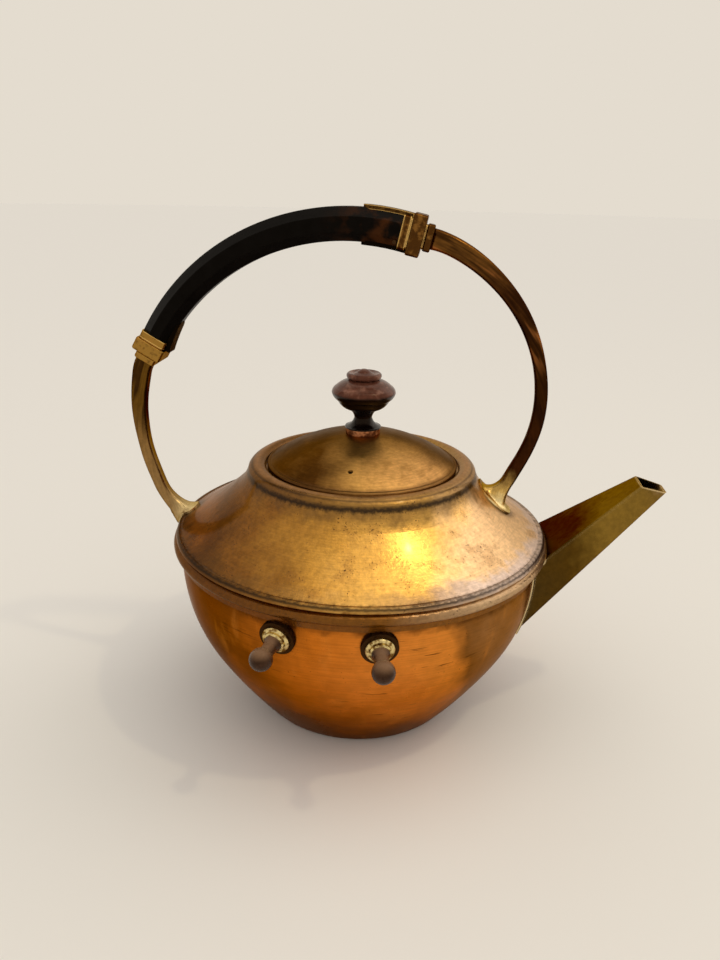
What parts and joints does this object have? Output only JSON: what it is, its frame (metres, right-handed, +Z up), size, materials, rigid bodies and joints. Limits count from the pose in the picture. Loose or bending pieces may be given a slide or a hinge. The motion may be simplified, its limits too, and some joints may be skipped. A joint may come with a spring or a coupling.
{
  "type": "tea kettle",
  "caption": "Round copper and brass kettle with a square tapering spout, side pegs for a hanging stand, a fixed bow handle with a dark grip and a lift-off domed lid.",
  "frame": {"origin": "centre of the flat base, on the surface that the kettle stands on", "axes": "+Z up along the lid's axis, +X towards the spout, +Y towards the far pair of pegs"},
  "size_m": [0.2598, 0.212, 0.2464],
  "materials": {
    "copper": "worn satin copper, darker and oxidised in patches",
    "shoulder_brass": "satin brass, mottled, with purple-brown oxide near the bead and neck",
    "lid_brass": "satin brass, finely mottled",
    "spout_brass": "smooth brass with a green-gold tarnish",
    "arm_brass": "smooth brass, brown in the hollows",
    "ferrule_brass": "polished brass with dark seams",
    "peg_ring_brass": "bright turned brass",
    "dark_washer": "blackened brass",
    "fixing_brass": "plain turned brass",
    "black_wood": "black satin finish, worn brown at its front end",
    "knob_wood": "dark red-brown, polished",
    "peg_wood": "brown, satin"
  },
  "bodies": {
    "kettle": {"bowl": "copper", "shoulder": "shoulder_brass", "neck_ring": "shoulder_brass", "spout": "spout_brass", "spout_flange": "spout_brass", "arm_front": "arm_brass", "arm_rear": "arm_brass", "ferrule_front": "ferrule_brass", "ferrule_rear": "ferrule_brass", "strap_front_upper": "ferrule_brass", "strap_front_lower": "ferrule_brass", "strap_rear_inner": "ferrule_brass", "grip": "black_wood", "grip_pin": "ferrule_brass", "peg_studs": "fixing_brass", "peg_nuts": "fixing_brass", "peg_washer_near_rear": "dark_washer", "peg_ring_near_rear": "peg_ring_brass", "peg_near_rear": "peg_wood", "peg_washer_near_front": "dark_washer", "peg_ring_near_front": "peg_ring_brass", "peg_near_front": "peg_wood", "peg_washer_far_front": "dark_washer", "peg_ring_far_front": "peg_ring_brass", "peg_far_front": "peg_wood", "peg_washer_far_rear": "dark_washer", "peg_ring_far_rear": "peg_ring_brass", "peg_far_rear": "peg_wood"},
    "lid": {"lid_dome": "lid_brass", "lid_rim": "lid_brass", "lid_skirt": "lid_brass", "knob_collar": "copper", "knob": "knob_wood", "knob_screw": "fixing_brass", "knob_washer": "fixing_brass", "knob_nut": "fixing_brass"}
  },
  "joints": [
    {"name": "lid_lift", "type": "slide", "parent": "kettle", "child": "lid", "axis": [0, 0, 1], "range_m": [0, 0.045]}
  ]
}
